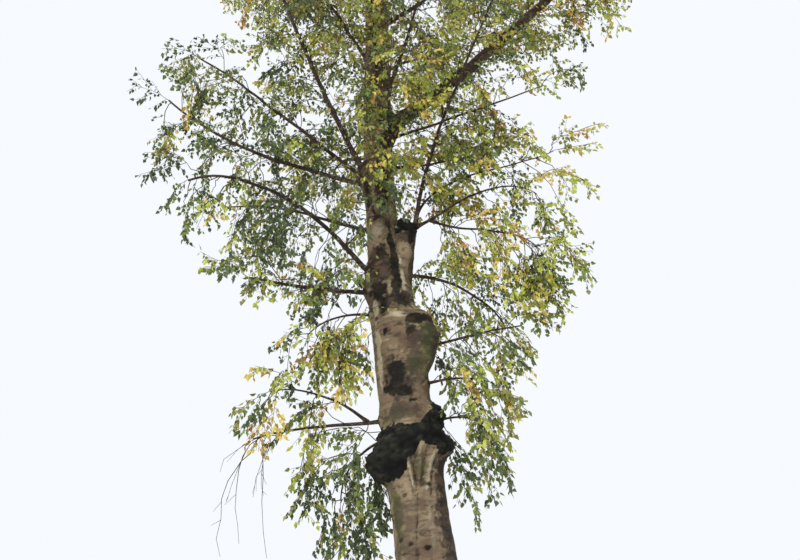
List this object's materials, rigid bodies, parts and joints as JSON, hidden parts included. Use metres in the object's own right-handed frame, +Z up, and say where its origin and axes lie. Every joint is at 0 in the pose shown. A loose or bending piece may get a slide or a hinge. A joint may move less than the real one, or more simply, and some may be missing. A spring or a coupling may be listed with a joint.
{
  "type": "silver birch tree",
  "caption": "Mature silver birch with a leaning upper trunk ringed by a burr, a broken second leader, slender boughs and open foliage.",
  "frame": {"origin": "middle of the flat cut under the trunk, at ground level", "axes": "+Z up, +X to the right of the tree's front, -Y towards the front"},
  "size_m": [5.3639, 4.2349, 16.1199],
  "materials": {
    "trunk_bark": "pale pinkish bark with dark cracks and lenticels",
    "bough_bark": "dark matt bark",
    "foliage": "thin green and yellow leaves"
  },
  "bodies": {
    "root": {"trunk": "trunk_bark", "stub": "trunk_bark", "bough_back_low": "bough_bark", "bough_back_middle": "bough_bark", "bough_left_arching": "bough_bark", "bough_left_hanging": "bough_bark", "bough_left_level": "bough_bark", "bough_left_slanting": "bough_bark", "bough_left_steep": "bough_bark", "bough_left_upper": "bough_bark", "bough_left_wide": "bough_bark", "bough_right_level": "bough_bark", "bough_right_main": "bough_bark", "bough_right_steep": "bough_bark", "bough_stub_arching": "bough_bark", "bough_stub_upright": "bough_bark", "bough_top_1": "bough_bark", "bough_top_2": "bough_bark", "foliage_back_low": "foliage", "foliage_back_middle": "foliage", "foliage_back_upper": "foliage", "foliage_collar_shoots": "foliage", "foliage_front_low": "foliage", "foliage_front_middle": "foliage", "foliage_front_upper": "foliage", "foliage_leader": "foliage", "foliage_left_arching": "foliage", "foliage_left_hanging": "foliage", "foliage_left_inner": "foliage", "foliage_left_level": "foliage", "foliage_left_lowest": "foliage", "foliage_left_rising": "foliage", "foliage_left_slanting": "foliage", "foliage_left_steep": "foliage", "foliage_left_upper": "foliage", "foliage_left_wide": "foliage", "foliage_left_yellow": "foliage", "foliage_right_burr": "foliage", "foliage_right_fork": "foliage", "foliage_right_level": "foliage", "foliage_right_lowest": "foliage", "foliage_right_main": "foliage", "foliage_right_scar": "foliage", "foliage_right_short": "foliage", "foliage_right_steep": "foliage", "foliage_stub_arching": "foliage", "foliage_stub_hanging": "foliage", "foliage_stub_level": "foliage", "foliage_stub_upright": "foliage", "foliage_top_1": "foliage", "foliage_top_10": "foliage", "foliage_top_11": "foliage", "foliage_top_2": "foliage", "foliage_top_3": "foliage", "foliage_top_4": "foliage", "foliage_top_5": "foliage", "foliage_top_6": "foliage", "foliage_top_7": "foliage", "foliage_top_8": "foliage", "foliage_top_9": "foliage"}
  },
  "joints": []
}
